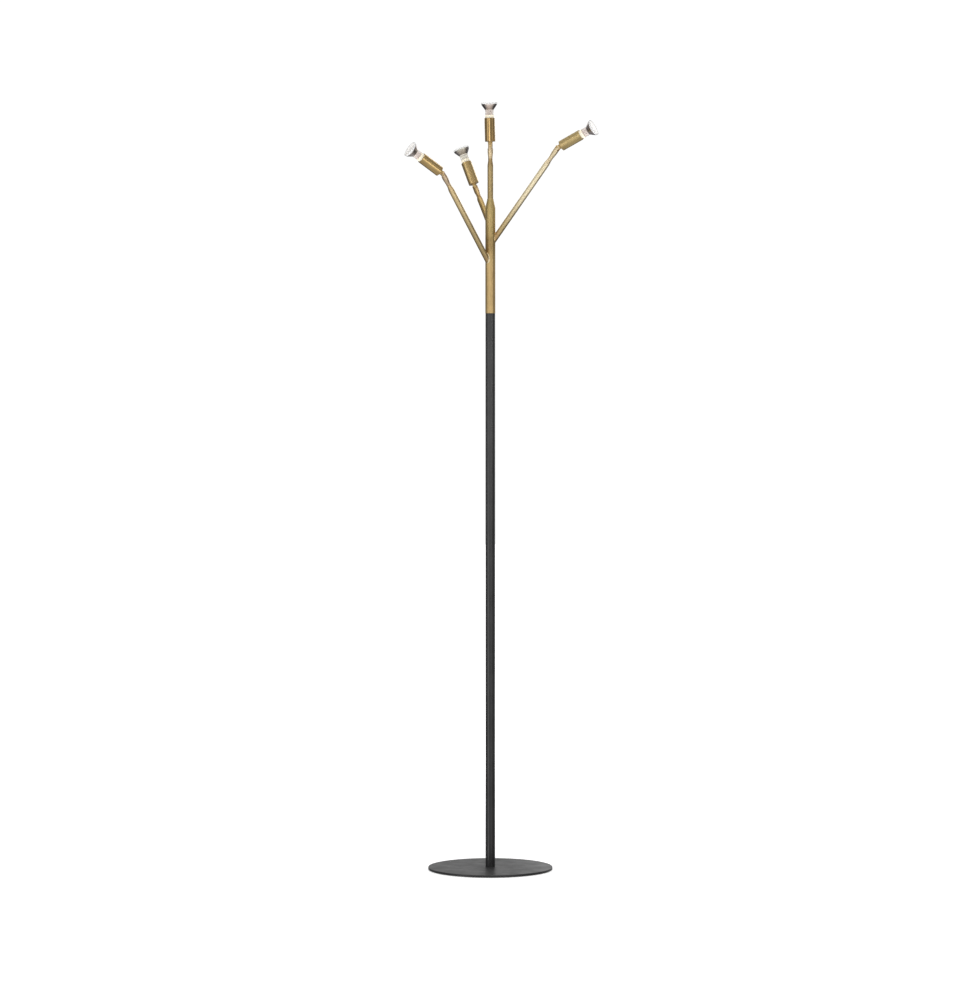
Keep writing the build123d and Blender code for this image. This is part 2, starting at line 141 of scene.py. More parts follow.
def mix(tree, factor, a, b, blend="MIX"):
    n = tree.nodes.new("ShaderNodeMix")
    n.data_type = "RGBA"
    n.blend_type = blend
    n.clamp_factor = True
    for slot, v in ((n.inputs["Factor"], factor), (n.inputs["A"], a), (n.inputs["B"], b)):
        if isinstance(v, (int, float)):
            slot.default_value = v
        elif isinstance(v, (tuple, list)):
            slot.default_value = (*v, 1.0) if len(v) == 3 else v
        else:
            tree.links.new(v, slot)
    return n.outputs["Result"]


def bump(tree, height, strength, distance):
    n = tree.nodes.new("ShaderNodeBump")
    n.inputs["Strength"].default_value = strength
    n.inputs["Distance"].default_value = distance
    tree.links.new(height, n.inputs["Height"])
    return n


def near(tree, vector, point, inner, outer):
    """1 within inner of a point, falling to 0 at outer (metres)."""
    n = tree.nodes.new("ShaderNodeVectorMath")
    n.operation = "DISTANCE"
    tree.links.new(vector, n.inputs[0])
    n.inputs[1].default_value = point
    return ramp(tree, n.outputs["Value"], inner, outer, 1.0, 0.0)


def split(tree, vector):
    n = tree.nodes.new("ShaderNodeSeparateXYZ")
    tree.links.new(vector, n.inputs["Vector"])
    return n.outputs["X"], n.outputs["Y"], n.outputs["Z"]


# ------------------------------------------------------------------ materials
BRASS = (0.60, 0.437, 0.200)
# a dark tone for spots of painted shade
BRASS_PAINTED_SHADE = (0.34, 0.225, 0.095)
BRASS_RED = (0.44, 0.225, 0.095)
BRASS_OLIVE = (0.50, 0.40, 0.165)
# a pale tone painted on the right arm as a highlight
BRASS_PAINTED_HIGHLIGHT = (0.86, 0.755, 0.53)


def brass(name, matrix, seed=0.0, warm=(), olive=(), dark=(), turned=False, tone=None,
          rough=(0.36, 0.50), stains=1.0, fade=None):
    """Raw brass, finely brushed: drawn streaks along the axis, or turned rings, with faint handling stains, a warmer
    tint where it was heated, olive spots and dark spots of painted shade. tone is the metal's colour, which several
    callers set per piece lighter or darker as painted light and shade. fade gives a point, two distances and the tone
    that the metal has nearer than them."""
    mat, tree, shader = material(name)
    shader.inputs["Metallic"].default_value = 1.0
    world = place(tree)
    local = place(tree, matrix)
    shift = tree.nodes.new("ShaderNodeVectorMath")
    shift.operation = "ADD"
    shift.inputs[1].default_value = (seed, seed * 0.37, seed * 1.7)
    tree.links.new(local, shift.inputs[0])
    local = shift.outputs["Vector"]

    def stretched(scale):
        s = tree.nodes.new("ShaderNodeMapping")
        s.inputs["Scale"].default_value = scale
        tree.links.new(local, s.inputs["Vector"])
        return s.outputs["Vector"]

    streak_map = stretched((30, 30, 2600)) if turned else stretched((2300, 2300, 26))
    fine_map = stretched((60, 60, 5200)) if turned else stretched((5200, 5200, 60))
    streak = noise(tree, streak_map, 1.0, 2.0, 0.6)
    fine = noise(tree, fine_map, 1.0, 3.0, 0.6)
    cloud = noise(tree, stretched((1, 1, 0.45)), 46.0, 4.0, 0.55, 0.4)
    blotch = noise(tree, stretched((1, 1, 1) if turned else (1, 1, 0.28)), 130.0, 5.0, 0.62, 0.8)

    main = tone or BRASS
    light = tuple(min(1.0, c * 1.17) for c in main)
    deep = tuple(c * k for c, k in zip(main, (0.72, 0.66, 0.58)))
    colour = mix(tree, ramp(tree, cloud, 0.36, 0.66), main, light)
    colour = mix(tree, math_node(tree, "MULTIPLY", ramp(tree, blotch, 0.50, 0.74), 0.42 * stains), colour, deep)
    colour = mix(tree, math_node(tree, "MULTIPLY", ramp(tree, streak, 0.40, 0.72), 0.22), colour, deep)
    if fade:
        point, inner, outer, close = fade
        colour = mix(tree, near(tree, world, point, inner, outer), colour,
                     mix(tree, math_node(tree, "MULTIPLY", ramp(tree, blotch, 0.45, 0.72), 0.6), close,
                         tuple(c * 0.72 for c in close)))
    ragged = ramp(tree, noise(tree, world, 75.0, 4.0, 0.6), 0.25, 0.72, 0.25, 1.0)
    # warm and olive spots tint the metal; dark spots are painted shade
    for tint, spots in ((BRASS_RED, warm), (BRASS_OLIVE, olive), (BRASS_PAINTED_SHADE, dark)):
        for point, inner, outer, amount in spots:
            a = near(tree, world, point, inner, outer)
            a = math_node(tree, "MULTIPLY", a, ragged)
            a = math_node(tree, "MULTIPLY", a, amount)
            colour = mix(tree, a, colour, tint)
    tree.links.new(colour, shader.inputs["Base Color"])

    r = ramp(tree, streak, 0.3, 0.7, rough[0], rough[1], False)
    r = math_node(tree, "ADD", r, ramp(tree, blotch, 0.45, 0.8, 0.0, 0.03 if turned else 0.06))
    tree.links.new(r, shader.inputs["Roughness"])
    b = bump(tree, fine, 0.05 if turned else 0.11, 0.00002)
    c = bump(tree, cloud, 0.03 if turned else 0.14, 0.00008)
    tree.links.new(b.outputs["Normal"], c.inputs["Normal"])
    tree.links.new(c.outputs["Normal"], shader.inputs["Normal"])
    if turned:
        # a thin clear lacquer keeps the highlights pale
        shader.inputs["Coat Weight"].default_value = 0.5
        shader.inputs["Coat Roughness"].default_value = 0.17
        shader.inputs["Coat IOR"].default_value = 1.5
    return mat


def coat(name, colour, rough, grain, seed=0.0, scuffs=0.0, specular=0.5):
    """Satin powder coat: an orange-peel skin with a little dust and wear."""
    mat, tree, shader = material(name)
    where = place(tree)
    shift = tree.nodes.new("ShaderNodeVectorMath")
    shift.operation = "ADD"
    shift.inputs[1].default_value = (seed, -seed, seed * 0.5)
    tree.links.new(where, shift.inputs[0])
    where = shift.outputs["Vector"]
    cloud = noise(tree, where, 9.0, 4.0, 0.5)
    speck = voronoi(tree, where, 2600.0)
    skin = noise(tree, where, 1500.0, 3.0, 0.6)
    light = tuple(min(1.0, c * 1.5 + 0.004) for c in colour)
    tint = mix(tree, ramp(tree, cloud, 0.35, 0.7), colour, light)
    tint = mix(tree, math_node(tree, "MULTIPLY", ramp(tree, speck, 0.0, 0.22, 1.0, 0.0), 0.35), tint,
               tuple(c * 2.2 for c in colour))
    if scuffs:
        line = place(tree, None, (40, 900, 40))
        scratch = ramp(tree, noise(tree, line, 1.0, 4.0, 0.7, 0.6), 0.66, 0.74)
        tint = mix(tree, math_node(tree, "MULTIPLY", scratch, scuffs), tint, tuple(c * 3 + 0.02 for c in colour))
    tree.links.new(tint, shader.inputs["Base Color"])
    tree.links.new(ramp(tree, noise(tree, where, 30.0, 4.0, 0.6), 0.3, 0.75, rough - 0.04, rough + 0.07),
                   shader.inputs["Roughness"])
    b = bump(tree, skin, grain, 0.00005)
    tree.links.new(b.outputs["Normal"], shader.inputs["Normal"])
    shader.inputs["Specular IOR Level"].default_value = specular
    return mat


def steel(name, colour=(0.56, 0.56, 0.57), matrix=None):
    mat, tree, shader = material(name)
    shader.inputs["Metallic"].default_value = 1.0
    where = place(tree, matrix)
    grain = noise(tree, where, 900.0, 4.0, 0.65)
    stain = noise(tree, where, 160.0, 4.0, 0.6, 0.5)
    tree.links.new(mix(tree, ramp(tree, stain, 0.4, 0.75), colour, tuple(c * 0.66 for c in colour)),
                   shader.inputs["Base Color"])
    tree.links.new(ramp(tree, grain, 0.3, 0.7, 0.26, 0.42, False), shader.inputs["Roughness"])
    tree.links.new(bump(tree, grain, 0.25, 0.00003).outputs["Normal"], shader.inputs["Normal"])
    return mat


def moulded(name, colour, rough=0.5, grain=700.0, depth=0.00004, specular=0.5):
    mat, tree, shader = material(name)
    where = place(tree)
    skin = noise(tree, where, grain, 4.0, 0.6)
    cloud = noise(tree, where, grain * 0.06, 3.0, 0.5)
    tree.links.new(mix(tree, ramp(tree, cloud, 0.35, 0.7), tuple(c * 0.86 for c in colour), colour),
                   shader.inputs["Base Color"])
    tree.links.new(ramp(tree, skin, 0.3, 0.7, rough - 0.06, rough + 0.08, False), shader.inputs["Roughness"])
    tree.links.new(bump(tree, skin, 0.4, depth).outputs["Normal"], shader.inputs["Normal"])
    shader.inputs["Specular IOR Level"].default_value = specular
    return mat


def felt(name, colour=(0.028, 0.028, 0.03)):
    mat, tree, shader = material(name)
    where = place(tree)
    a = noise(tree, where, 900.0, 6.0, 0.75, 1.2)
    b = noise(tree, where, 4200.0, 3.0, 0.6)
    tree.links.new(mix(tree, ramp(tree, a, 0.35, 0.7), colour, tuple(c * 2.0 for c in colour)),
                   shader.inputs["Base Color"])
    shader.inputs["Roughness"].default_value = 0.95
    shader.inputs["Sheen Weight"].default_value = 0.3
    height = math_node(tree, "ADD", a, math_node(tree, "MULTIPLY", b, 0.4))
    tree.links.new(bump(tree, height, 0.7, 0.0003).outputs["Normal"], shader.inputs["Normal"])
    return mat


def glass(name, colour=(0.93, 0.94, 0.94), rough=0.03, matrix=None, clear=0.3, edge=0.8, ribs=0, grey=0.5):
    """Clear glass: thin and nearly invisible face on, denser and painted greyer as shade where it turns away, with a
    little haze and, where it is pressed, furrows painted darker as shade."""
    mat, tree, shader = material(name)
    where = place(tree, matrix)
    haze = noise(tree, where, 220.0, 3.0, 0.6)
    rim = tree.nodes.new("ShaderNodeLayerWeight")
    rim.inputs["Blend"].default_value = 0.35
    turned = ramp(tree, rim.outputs["Facing"], 0.15, 0.9)
    body = mix(tree, ramp(tree, haze, 0.35, 0.75), colour, tuple(c * 0.92 for c in colour))
    dense = ramp(tree, haze, 0.3, 0.8, clear, clear + 0.08)
    if ribs:
        x, y, z = split(tree, where)
        around = math_node(tree, "MULTIPLY", math_node(tree, "ARCTAN2", y, x), float(ribs))
        furrow = ramp(tree, math_node(tree, "COSINE", around), -1.0, 0.1, 1.0, 0.0)
        # the furrows are painted darker as shade
        body = mix(tree, math_node(tree, "MULTIPLY", furrow, 0.75), body, tuple(c * 0.42 for c in colour))
        dense = math_node(tree, "ADD", dense, math_node(tree, "MULTIPLY", furrow, 0.22))
        # what is inside shows through as uneven streaks along the neck
        run = tree.nodes.new("ShaderNodeMapping")
        run.inputs["Scale"].default_value = (190, 190, 26)
        tree.links.new(where, run.inputs["Vector"])
        inside = ramp(tree, noise(tree, run.outputs["Vector"], 1.0, 3.0, 0.6, 0.3), 0.44, 0.62)
        body = mix(tree, math_node(tree, "MULTIPLY", inside, 0.55), body, tuple(c * k for c, k in zip(colour, (0.58, 0.50, 0.50))))
        dense = math_node(tree, "ADD", dense, math_node(tree, "MULTIPLY", inside, 0.30))
    # painted shade: greyer where the glass turns away
    body = mix(tree, turned, body, tuple(c * grey for c in colour))
    tree.links.new(body, shader.inputs["Base Color"])
    tree.links.new(ramp(tree, haze, 0.4, 0.8, rough, rough + 0.05), shader.inputs["Roughness"])
    edge_dense = math_node(tree, "MULTIPLY", turned, edge - clear)
    tree.links.new(math_node(tree, "MINIMUM", math_node(tree, "ADD", dense, edge_dense), 1.0), shader.inputs["Alpha"])
    shader.inputs["IOR"].default_value = 1.5
    tree.links.new(bump(tree, noise(tree, where, 380.0, 2.0, 0.5), 0.2, 0.00005).outputs["Normal"],
                   shader.inputs["Normal"])
    return mat


def mirror(name, colour, rough, matrix, metal=1.0):
    """The thin coating on the reflector: metal-bright at full metal, with faint colour bands; with metal at 0 its
    pale colour is a painted reflection.
    """
    mat, tree, shader = material(name)
    shader.inputs["Metallic"].default_value = metal
    where = place(tree, matrix)
    haze = noise(tree, where, 140.0, 4.0, 0.6, 0.6)
    warm = tuple(min(1.0, c * k) for c, k in zip(colour, (1.12, 0.97, 1.0)))
    cool = tuple(min(1.0, c * k) for c, k in zip(colour, (0.92, 0.96, 1.05)))
    tree.links.new(mix(tree, ramp(tree, haze, 0.38, 0.66), warm, cool), shader.inputs["Base Color"])
    tree.links.new(ramp(tree, haze, 0.3, 0.8, rough, rough + 0.08), shader.inputs["Roughness"])
    tree.links.new(bump(tree, noise(tree, where, 900.0, 3.0, 0.5), 0.12, 0.00003).outputs["Normal"],
                   shader.inputs["Normal"])
    return mat


def coating(name, matrix, lift=1.0, film=(1.0, 1.0, 1.0)):
    """The outside of the reflector's coating, painted by view angle: a pale pinkish colour where it is seen square
    on, brighter towards the rim, painted as the light the thin film lets through, and a dark colour where it turns
    away, painted as the reflection of a dark mirror."""
    mat, tree, shader = material(name)
    where = place(tree, matrix)
    haze = noise(tree, where, 140.0, 4.0, 0.6, 0.6)
    rim = tree.nodes.new("ShaderNodeLayerWeight")
    rim.inputs["Blend"].default_value = 0.5
    turned = ramp(tree, math_node(tree, "ADD", rim.outputs["Facing"], ramp(tree, haze, 0.3, 0.7, -0.03, 0.03)), 0.12, 0.41)
    station = split(tree, where)[2]
    tint = lambda *c: tuple(a * b for a, b in zip(c, film))
    # the painted pale colour grows brighter towards the rim
    pale = mix(tree, ramp(tree, station, 0.0765, 0.0822), tint(0.36, 0.28, 0.225), tint(0.56, 0.455, 0.39))
    pale = mix(tree, ramp(tree, station, 0.0822, 0.0888), pale, tint(0.86, 0.81, 0.77))
    pale = mix(tree, ramp(tree, haze, 0.38, 0.66, 0.0, 0.3), pale, tint(0.42, 0.35, 0.31))
    # the dark colour is a painted reflection; lift brightens it per bulb
    deep = mix(tree, ramp(tree, haze, 0.35, 0.7), tuple(c * lift for c in (0.19, 0.17, 0.17)),
               tuple(c * lift for c in (0.28, 0.25, 0.23)))
    tree.links.new(mix(tree, turned, pale, deep), shader.inputs["Base Color"])
    tree.links.new(ramp(tree, turned, 0.0, 1.0, 0.45, 1.0, False), shader.inputs["Metallic"])
    tree.links.new(ramp(tree, haze, 0.3, 0.8, 0.12, 0.22), shader.inputs["Roughness"])
    tree.links.new(bump(tree, noise(tree, where, 900.0, 3.0, 0.5), 0.12, 0.00003).outputs["Normal"],
                   shader.inputs["Normal"])
    return mat


def dress(name, mat):
    mesh = nodes[name].data
    mesh.materials.clear()
    mesh.materials.append(mat)


# junctions of the side arms with the trunk's surface
TRUNK_R = 10.6 * MM
ARM_R = 6.0 * MM
joint_spot, root_point = {}, {}
for side in SIDES[:3]:
    m = arm_frame[side]
    along, pivot = m.col[2].to_3d(), m.translation
    # where the arm's axis crosses the trunk's axis, and where it leaves the trunk
    flat = math.hypot(along.x, along.y)
    reach = math.hypot(pivot.x, pivot.y) / flat
    root_point[side] = pivot - along * reach
    joint_spot[side] = root_point[side] + along * (TRUNK_R / flat)

L, R, B = (joint_spot[s] for s in SIDES[:3])
trunk_brass = brass(
    "trunk_brass", None, 0.3,
    warm=[(L + Vector((-0.004, 0, 0.018)), 0.004, 0.026, 0.75), (R + Vector((0, 0, 0.014)), 0.003, 0.022, 0.35),
          (B + Vector((0, 0, 0.010)), 0.003, 0.024, 0.4)],
    olive=[(Vector((0, 0, 1.360)), 0.030, 0.095, 0.85)],
    # the dark spots are painted shade: above the left arm's joint and on the trunk's right side
    dark=[(L + Vector((0.001, -0.001, 0.030)), 0.007, 0.026, 0.85), (Vector((0.012, 0, 1.335)), 0.002, 0.05, 0.35)],
    tone=(0.570, 0.408, 0.192),
)
reducer_brass = brass("reducer_brass", None, 1.9, olive=[(Vector((0, 0, 1.41)), 0.01, 0.03, 0.7)])
dress("trunk_tube", trunk_brass)
dress("trunk_reducer", reducer_brass)

for i, side in enumerate(SIDES):
    arm = arm_frame[side]
    head = head_frame[side]
    along = arm.col[2].to_3d()
    pivot = arm.translation
    tip = pivot - along * 0.034
    spots = [(tip, 0.002, 0.016, 0.35)]
    if side in joint_spot:
        spots.append((joint_spot[side], 0.004, 0.026, 0.55))
    # each arm's tone is lightened or darkened as painted light and shade: the right and left arms' pale tones are
    # painted highlights, the rear arm's dark tone is painted shade
    arm_lit_tone = {"rear": (0.37, 0.26, 0.105), "right": BRASS_PAINTED_HIGHLIGHT, "left": (0.80, 0.63, 0.35),
             "top": (0.485, 0.367, 0.18)}[side]
    # fade ends the painted highlight tone near the trunk, where the arm goes back to plain brass
    fade = None
    if side in ("left", "right"):
        fade = (root_point[side], 0.03, {"left": 0.21, "right": 0.15}[side], (0.52, 0.40, 0.20))
    arm_brass = brass(f"{side}_arm_brass", arm, 2.0 + i, warm=spots, tone=arm_lit_tone, fade=fade)
    dress(f"{side}_arm", arm_brass)
    # each fork's tone is set per side as painted light and shade: the pale tones are painted highlights, the rear
    # fork's dark tone is painted shade
    fork_brass = brass(f"{side}_fork_brass", arm, 5.0 + i, warm=[(pivot, 0.002, 0.014, 0.3)],
                       tone={"rear": (0.44, 0.31, 0.15), "left": (0.72, 0.56, 0.38), "right": (0.78, 0.66, 0.44),
                             "top": (0.72, 0.58, 0.37)}[side])
    dress(f"{side}_fork", fork_brass)
    head_brass = brass(f"{side}_stem_brass", head, 8.0 + i)
    dress(f"{side}_tilt_stem", head_brass)
    dress(f"{side}_pivot_screws", brass(f"{side}_screw_brass", arm, 11.0 + i, stains=0.4))
    out = head.col[2].to_3d()
    base_end = pivot + out * 0.010
    # each holder's tone is set per side lighter or darker as painted light and shade
    dress(f"{side}_lamp_holder", brass(
        f"{side}_holder_brass", head, 14.0 + i, turned=True,
        tone={"left": (0.49, 0.342, 0.142), "right": (0.49, 0.37, 0.165), "rear": (0.57, 0.41, 0.177),
              "top": (0.44, 0.293, 0.118)}[side],
        rough={"left": (0.20, 0.27), "right": (0.34, 0.42), "rear": (0.24, 0.32), "top": (0.14, 0.19)}[side],
        warm=[(base_end, 0.004, 0.022, 0.2)], stains=0.4))

pole_coat = coat("pole_coat", (0.0065, 0.0065, 0.007), 0.30, 0.22, 0.0, specular=0.75)
base_coat = coat("base_coat", (0.016, 0.016, 0.0165), 0.40, 0.40, 3.0, 0.12)
dress("pole_tube", pole_coat)
dress("base_plate", base_coat)
dress("base_pad", felt("pad_felt"))
plated = steel("plated_steel")
for n in ("base_bolt", "pole_foot_plug", "pole_coupling", "coupling_screws", "swivel_studs", "swivel_washers"):
    dress(n, plated)
dress("cord_gland", moulded("gland_rubber", (0.02, 0.02, 0.02), 0.62, 1200.0))
dress("terminal_block", moulded("block_plastic", (0.74, 0.72, 0.66), 0.45))
dress("branch_leads", moulded("lead_jacket", (0.05, 0.05, 0.05), 0.5))
ceramic = moulded("socket_ceramic", (0.74, 0.72, 0.66), 0.6, 900.0, 0.00006)
cream = moulded("cap_ceramic", (0.86, 0.80, 0.66), 0.42, 600.0, 0.00004)
cement = moulded("bulb_cement", (0.98, 0.90, 0.70), 0.6, 1100.0, 0.00003)
nickel = steel("contact_nickel", (0.62, 0.60, 0.55))
for side in SIDES:
    dress(f"{side}_socket", ceramic)
    dress(f"{side}_lamp_cap", cream)
    dress(f"{side}_socket_leads", nickel)


# ------------------------------------------------------------------ mesh helpers
def finish_mesh(name, mesh, mats, body, angle=35.0):
    for mat in mats:
        mesh.materials.append(mat)
    mesh.polygons.foreach_set("use_smooth", [True] * len(mesh.polygons))
    mesh.set_sharp_from_angle(angle=math.radians(angle))
    mesh.update()
    ob = bpy.data.objects.new(name, mesh)
    bpy.context.scene.collection.objects.link(ob)
    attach(ob, body)
    return ob


def revolve(name, matrix, rings, segments=96, shape=None, mat_of=None):
    """A closed body of revolution from (radius, station) points in millimetres.
    shape(angle, index, radius) may change a ring's radius round the axis."""
    bm = bmesh.new()
    rows = []
    for i, (r, s) in enumerate(rings):
        if r < 1e-6:
            rows.append([bm.verts.new(matrix @ Vector((0, 0, s * MM)))])
            continue
        row = []
        for k in range(segments):
            a = 2 * math.pi * k / segments
            rr = shape(a, i, r) if shape else r
            row.append(bm.verts.new(matrix @ Vector((rr * math.cos(a) * MM, rr * math.sin(a) * MM, s * MM))))
        rows.append(row)
    count = len(rows)
    closed = rings[0][0] > 1e-6 and rings[-1][0] > 1e-6
    pairs = [(i, i + 1) for i in range(count - 1)] + ([(count - 1, 0)] if closed else [])
    for i, j in pairs:
        a, b = rows[i], rows[j]
        for k in range(segments):
            n = (k + 1) % segments
            if len(a) == 1:
                face = bm.faces.new((a[0], b[n], b[k]))
            elif len(b) == 1:
                face = bm.faces.new((a[k], a[n], b[0]))
            else:
                face = bm.faces.new((a[k], a[n], b[n], b[k]))
            if mat_of:
                face.material_index = mat_of(i)
    bmesh.ops.recalc_face_normals(bm, faces=bm.faces)
    mesh = bpy.data.meshes.new(name)
    bm.to_mesh(mesh)
    bm.free()
    return mesh


# ------------------------------------------------------------------ brazed joints
# a small concave fillet of filler metal round the foot of each side arm
for side in SIDES[:3]:
    # the fillers' tones differ per side as painted light and shade: the left fillet's pale tone is a painted
    # highlight, the rear's dark tone is painted shade
    filler = brass(f"{side}_filler_brass", None, 21.0, rough=(0.28, 0.42), stains=1.0,
                   tone={"left": (0.88, 0.75, 0.50), "right": (0.56, 0.42, 0.21), "rear": (0.45, 0.29, 0.13)}[side])
    m = arm_frame[side]
    x_axis, y_axis, along = (m.col[i].to_3d() for i in range(3))
    root = root_point[side]
    count = 72
    ring_points = []
    for k in range(count):
        a = 2 * math.pi * k / count
        offset = (x_axis * math.cos(a) + y_axis * math.sin(a)) * ARM_R
        # station along the arm where its surface meets the trunk's
        qa = along.x ** 2 + along.y ** 2
        qb = 2 * (along.x * offset.x + along.y * offset.y)
        qc = offset.x ** 2 + offset.y ** 2 - TRUNK_R ** 2
        s = (-qb + math.sqrt(qb * qb - 4 * qa * qc)) / (2 * qa)
        p = root + along * s + offset
        ring_points.append((p, Vector((p.x, p.y, 0)).normalized(), offset.normalized()))
    bm = bmesh.new()
    rows = []
    for k, (p, trunk_n, arm_n) in enumerate(ring_points):
        tangent = (ring_points[(k + 1) % count][0] - ring_points[k - 1][0]).normalized()
        on_trunk = tangent.cross(trunk_n).normalized()
        if on_trunk.dot(arm_n) < 0:
            on_trunk = -on_trunk
        on_arm = tangent.cross(arm_n).normalized()
        if on_arm.dot(along) < 0:
            on_arm = -on_arm
        # more filler sits in the sharp crotch than on the open side
        opening = on_trunk.dot(on_arm)
        d = (1.25 + 1.4 * max(0.0, opening) ** 1.5) * MM
        d *= 1.0 + 0.10 * math.sin(5 * 2 * math.pi * k / count + 1.3) * math.sin(3 * 2 * math.pi * k / count)
        start = p + on_trunk * d - trunk_n * 0.05 * MM
        end = p + on_arm * d - arm_n * 0.05 * MM
        middle = p + (trunk_n + arm_n) * 0.10 * MM
        row = []
        for j in range(7):
            t = j / 6
            row.append(bm.verts.new(start * (1 - t) ** 2 + middle * 2 * t * (1 - t) + end * t ** 2))
        row.append(bm.verts.new(p - (trunk_n + arm_n).normalized() * 0.8 * MM))
        rows.append(row)
    for k in range(count):
        a, b = rows[k], rows[(k + 1) % count]
        for j in range(8):
            n = (j + 1) % 8
            bm.faces.new((a[j], a[n], b[n], b[j]))
    bmesh.ops.recalc_face_normals(bm, faces=bm.faces)
    mesh = bpy.data.meshes.new(f"{side}_braze_fillet")
    bm.to_mesh(mesh)
    bm.free()
    finish_mesh(f"{side}_braze_fillet", mesh, [filler], "stand", 60.0)

# ------------------------------------------------------------------ bulbs
for i, side in enumerate(SIDES):
    m = head_frame[side]
    body = f"{side}_bulb"
    # each bulb's neck glass has its own tone, lighter or darker as painted light and shade
    neck_tone = {"top": (0.86, 0.75, 0.66), "rear": (1.0, 0.96, 0.83)}.get(side, (0.97, 0.85, 0.78))
    clear = glass(f"{side}_neck_glass", neck_tone, 0.06, m, 0.30, 0.90, 14, 0.38)
    rim_glass = glass(f"{side}_rim_glass", (0.90, 0.90, 0.90), 0.05, m, 0.55, 0.9, 0, 0.35)
    # film darkens the rear bulb's painted pale colour and lift brightens the side bulbs' painted dark reflection, as
    # light and shade per bulb
    film = (0.74, 0.80, 0.76) if side == "rear" else (1.0, 1.0, 1.0)
    coated = coating(f"{side}_coated_glass", m, {"top": 1.05, "rear": 1.3}.get(side, 2.1), film)
    # the mirror is made a pale non-metal: a painted reflection of the white surroundings
    bright = mirror(f"{side}_reflector_painted_reflection", (1.0, 0.965, 0.915), 0.5, m, 0.0)

    # outer glass: a ribbed neck that opens into the smooth cone and a rolled rim
    neck = [
        (8.30, 61.55), (8.72, 61.75), (8.85, 62.2), (8.85, 66.0), (8.85, 70.0), (8.85, 73.2), (8.95, 74.8),
        (9.35, 75.9), (10.1, 77.2), (11.2, 78.7), (12.5, 80.5), (13.8, 82.4), (14.9, 83.95), (15.75, 85.2),
        (16.35, 86.3), (16.75, 87.3), (17.05, 88.3), (17.25, 89.2), (17.38, 90.0), (17.30, 90.5),
        (17.05, 90.75), (16.75, 90.75), (16.60, 90.45), (16.55, 89.0), (16.30, 88.85),
        (15.9, 87.6), (15.2, 86.1), (14.2, 84.5), (13.0, 82.8), (11.6, 81.0), (10.1, 79.2), (8.6, 77.7),
        (7.1, 76.5), (6.0, 75.8), (5.4, 75.3), (5.1, 74.2), (5.1, 70.0), (5.1, 61.55),
    ]

    def ribbed(a, index, r):
        if index <= 6:
            depth = 0.30 if 1 <= index <= 5 else 0.12
            return r + depth * (0.5 + 0.5 * math.cos(14 * a)) ** 2 - depth * 0.4
        return r

    # neck and inner wall clear, cone coated, rolled rim clear again
    mesh = revolve(f"{side}_glass_body", m, neck, 168, ribbed,
                   lambda i: 1 if 7 <= i <= 14 else 2 if 15 <= i <= 24 else 0)
    shell = finish_mesh(f"{side}_glass_body", mesh, [clear, coated, rim_glass], body, 50.0)
    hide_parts(f"{side}_lamp_reflector")

    # the band of cement between the ceramic cap and the glass neck
    band = [(5.2, 61.55), (8.6, 61.55), (9.25, 61.7), (9.38, 62.0), (9.36, 63.2), (9.30, 64.0), (9.12, 64.5),
            (8.75, 64.7), (5.2, 64.7)]

    def uneven(a, index, r):
        return r + (0.05 * math.sin(3 * a + i) + 0.04 * math.sin(7 * a + 2 * i) if 3 <= index <= 6 else 0.0)

    mesh = revolve(f"{side}_cement_band", m, band, 96, uneven)
    finish_mesh(f"{side}_cement_band", mesh, [cement], body, 40.0)

    # mirror coating inside the cone, pressed in small domed facets; its pale colour is a painted reflection
    rows_s = [(5.55, 75.5), (7.3, 76.9), (9.2, 78.55), (11.1, 80.55), (12.9, 82.9), (14.5, 85.3), (15.75, 87.7), (16.2, 88.75)]
    sectors, sub = 24, 3
    bm = bmesh.new()
    grid = {}
    total_rows = (len(rows_s) - 1) * sub
    total_cols = sectors * sub
    for row in range(total_rows + 1):
        band = min(row // sub, len(rows_s) - 2)
        t = (row - band * sub) / sub
        (r0, s0), (r1, s1) = rows_s[band], rows_s[band + 1]
        r, s = r0 + (r1 - r0) * t, s0 + (s1 - s0) * t
        for col in range(total_cols):
            u = (col % sub) / sub
            dome = 0.22 * math.sin(math.pi * t) * math.sin(math.pi * u) if 0 < t < 1 else 0.0
            a = 2 * math.pi * (col + (0.5 * sub if band % 2 else 0)) / total_cols
            # a flat facet's chord stands inside its circle
            chord = r * math.cos(math.pi / sectors) / math.cos(2 * math.pi * (u - 0.5) / sectors)
            rr = chord - dome - 0.12
            grid[row, col] = bm.verts.new(m @ Vector((rr * math.cos(a) * MM, rr * math.sin(a) * MM, (s + dome * 0.6) * MM)))
    for row in range(total_rows):
        for col in range(total_cols):
            n = (col + 1) % total_cols
            bm.faces.new((grid[row, col], grid[row, n], grid[row + 1, n], grid[row + 1, col]))
    mesh = bpy.data.meshes.new(f"{side}_facets")
    bm.normal_update()
    bm.to_mesh(mesh)
    bm.free()
    facets = finish_mesh(f"{side}_facets", mesh, [bright], body, 9.0)

    # front lens, slightly domed, with a ground edge in the rim
    lens = [(0, 89.15), (8.0, 89.15), (15.6, 89.15), (16.2, 89.3), (16.25, 89.9), (15.9, 90.15),
            (12.0, 90.32), (6.0, 90.46), (0, 90.5)]
    mesh = revolve(f"{side}_front_lens", m, lens, 96)
    front = finish_mesh(f"{side}_front_lens", mesh, [glass(f"{side}_lens_glass", (0.99, 0.965, 0.925), 0.05, m, 0.34, 0.60, 0, 0.9)], body,
                        40.0)
    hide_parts(f"{side}_lamp_lens")

    # quartz capsule with its flat pinch and tip, and the coil inside it
    capsule = [(0, 69.5), (2.3, 69.55), (3.2, 70.2), (3.65, 71.4), (3.7, 73.5), (3.7, 78.6), (3.5, 80.1), (3.0, 81.3),
               (2.2, 82.2), (1.3, 82.7), (0.75, 83.1), (0.55, 83.7), (0.35, 84.3), (0, 84.5)]

